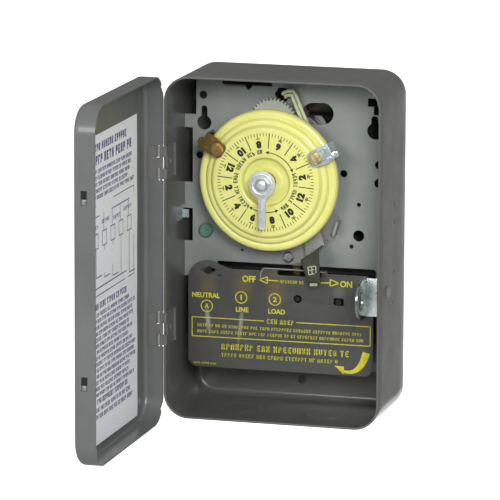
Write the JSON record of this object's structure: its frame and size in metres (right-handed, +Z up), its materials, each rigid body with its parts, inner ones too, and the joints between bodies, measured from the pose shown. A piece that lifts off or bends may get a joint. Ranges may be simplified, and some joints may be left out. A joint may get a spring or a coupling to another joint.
{
  "type": "mechanical time switch",
  "caption": "Wall-mounted 24-hour mechanical time switch: grey steel box with hinged pan door, yellow dial with trippers, manual lever and insulator over the terminals.",
  "frame": {"origin": "centre of the box's back face, on the wall plane", "axes": "+X right seen from the front, front faces -Y, +Z up; +Y points into the wall"},
  "size_m": [0.1372, 0.1906, 0.197],
  "materials": {
    "box_paint": "satin grey enamel",
    "door_paint": "satin grey enamel",
    "zinc": "bright zinc plate",
    "plate_steel": "plain zinc-plated steel",
    "steel_pin": "machined",
    "green_screw": "green dyed zinc",
    "bracket_steel": "satin",
    "dark_steel": "dark oxide",
    "motor_metal": "satin",
    "coil_tape": "varnished",
    "lamination": "rolled",
    "lead_sleeve": "matt",
    "nylon_grey": "moulded",
    "brass": "plain",
    "copper": "copper plated",
    "pointer_metal": "dull nickel",
    "dial_paint": "satin yellow",
    "black_phenolic": "moulded",
    "insulator_film": "translucent smoke grey sheet",
    "paper": "printed paper label",
    "cam_nylon": "moulded"
  },
  "bodies": {
    "enclosure": {"enclosure_box": "box_paint", "knockout_slugs": "box_paint", "box_hinge_leaves": "zinc", "hinge_pins": "steel_pin", "latch_hasp": "zinc", "hasp_rivets": "zinc", "plate_clip": "zinc", "mechanism_plate": "plate_steel", "plate_standoffs": "steel_pin", "ground_screw": "green_screw", "trip_bracket": "bracket_steel", "bracket_screw": "bracket_steel", "lever_pivot_pin": "steel_pin", "motor_can": "motor_metal", "motor_coil": "coil_tape", "motor_core": "lamination", "motor_leads": "lead_sleeve", "gear_stud": "steel_pin", "dial_post": "steel_pin", "pull_spring": "steel_pin", "time_pointer": "pointer_metal", "pointer_nut": "pointer_metal", "terminal_block": "black_phenolic", "terminal_lugs": "brass", "terminal_screws": "brass", "fixed_contact": "brass", "contact_pivot_pin": "steel_pin", "insulator_posts": "black_phenolic"},
    "door": {"door_panel": "door_paint", "wiring_label": "paper", "door_hinge_leaves": "zinc"},
    "insulator": {"insulator_shield": "insulator_film"},
    "clock_gear": {"dial_gear": "nylon_grey"},
    "dial_carrier": {"dial_sleeve": "brass"},
    "dial_face": {"dial": "dial_paint"},
    "on_trip": {"on_tripper": "zinc", "on_tripper_screw": "brass"},
    "off_trip": {"off_tripper": "copper", "off_tripper_screw": "brass"},
    "idler": {"drive_gear": "nylon_grey"},
    "motor_shaft": {"motor_pinion": "brass"},
    "lever": {"manual_lever": "dark_steel", "switch_cam": "cam_nylon"},
    "contact": {"contact_arm": "copper"}
  },
  "joints": [
    {"name": "door_hinge", "type": "hinge", "parent": "enclosure", "child": "door", "pos_m": [-0.0632, -0.0639, 0], "axis": [0, 0, -1], "range_deg": [-90, 80]},
    {"name": "insulator_lift", "type": "slide", "parent": "enclosure", "child": "insulator", "axis": [0, -1, 0], "range_m": [0, 0.0035]},
    {"name": "dial_drive", "type": "hinge", "parent": "enclosure", "child": "clock_gear", "pos_m": [-0.008, -0.03, 0.0368], "axis": [0, 1, 0], "continuous": true},
    {"name": "dial_pull", "type": "slide", "parent": "clock_gear", "child": "dial_carrier", "axis": [0, -1, 0], "range_m": [0, 0.003], "stiffness_N_per_m": 300},
    {"name": "dial_set", "type": "hinge", "parent": "dial_carrier", "child": "dial_face", "pos_m": [-0.008, -0.046, 0.0368], "axis": [0, 1, 0], "continuous": true},
    {"name": "on_tripper_set", "type": "hinge", "parent": "dial_face", "child": "on_trip", "pos_m": [-0.008, -0.046, 0.0368], "axis": [0, 1, 0], "range_deg": [-55, 55]},
    {"name": "off_tripper_set", "type": "hinge", "parent": "dial_face", "child": "off_trip", "pos_m": [-0.008, -0.046, 0.0368], "axis": [0, 1, 0], "range_deg": [-55, 55]},
    {"name": "drive_gear_spin", "type": "hinge", "parent": "enclosure", "child": "idler", "pos_m": [-0.008, -0.03, 0.0683], "axis": [0, 1, 0], "continuous": true},
    {"name": "motor_spin", "type": "hinge", "parent": "enclosure", "child": "motor_shaft", "pos_m": [0.00677, -0.03, 0.0603], "axis": [0, 1, 0], "continuous": true},
    {"name": "lever_swing", "type": "hinge", "parent": "enclosure", "child": "lever", "pos_m": [0.0135, -0.032, 0.012], "axis": [0, 1, 0], "range_deg": [0, 28]},
    {"name": "contact_swing", "type": "hinge", "parent": "enclosure", "child": "contact", "pos_m": [0.034, -0.022, -0.009], "axis": [0, 1, 0], "range_deg": [-7, 0]}
  ],
  "couplings": [
    {"joint": "drive_gear_spin", "follows": "dial_drive", "ratio": -1.3684},
    {"joint": "motor_spin", "follows": "dial_drive", "ratio": 5.2},
    {"joint": "contact_swing", "follows": "lever_swing", "ratio": -0.21429}
  ]
}
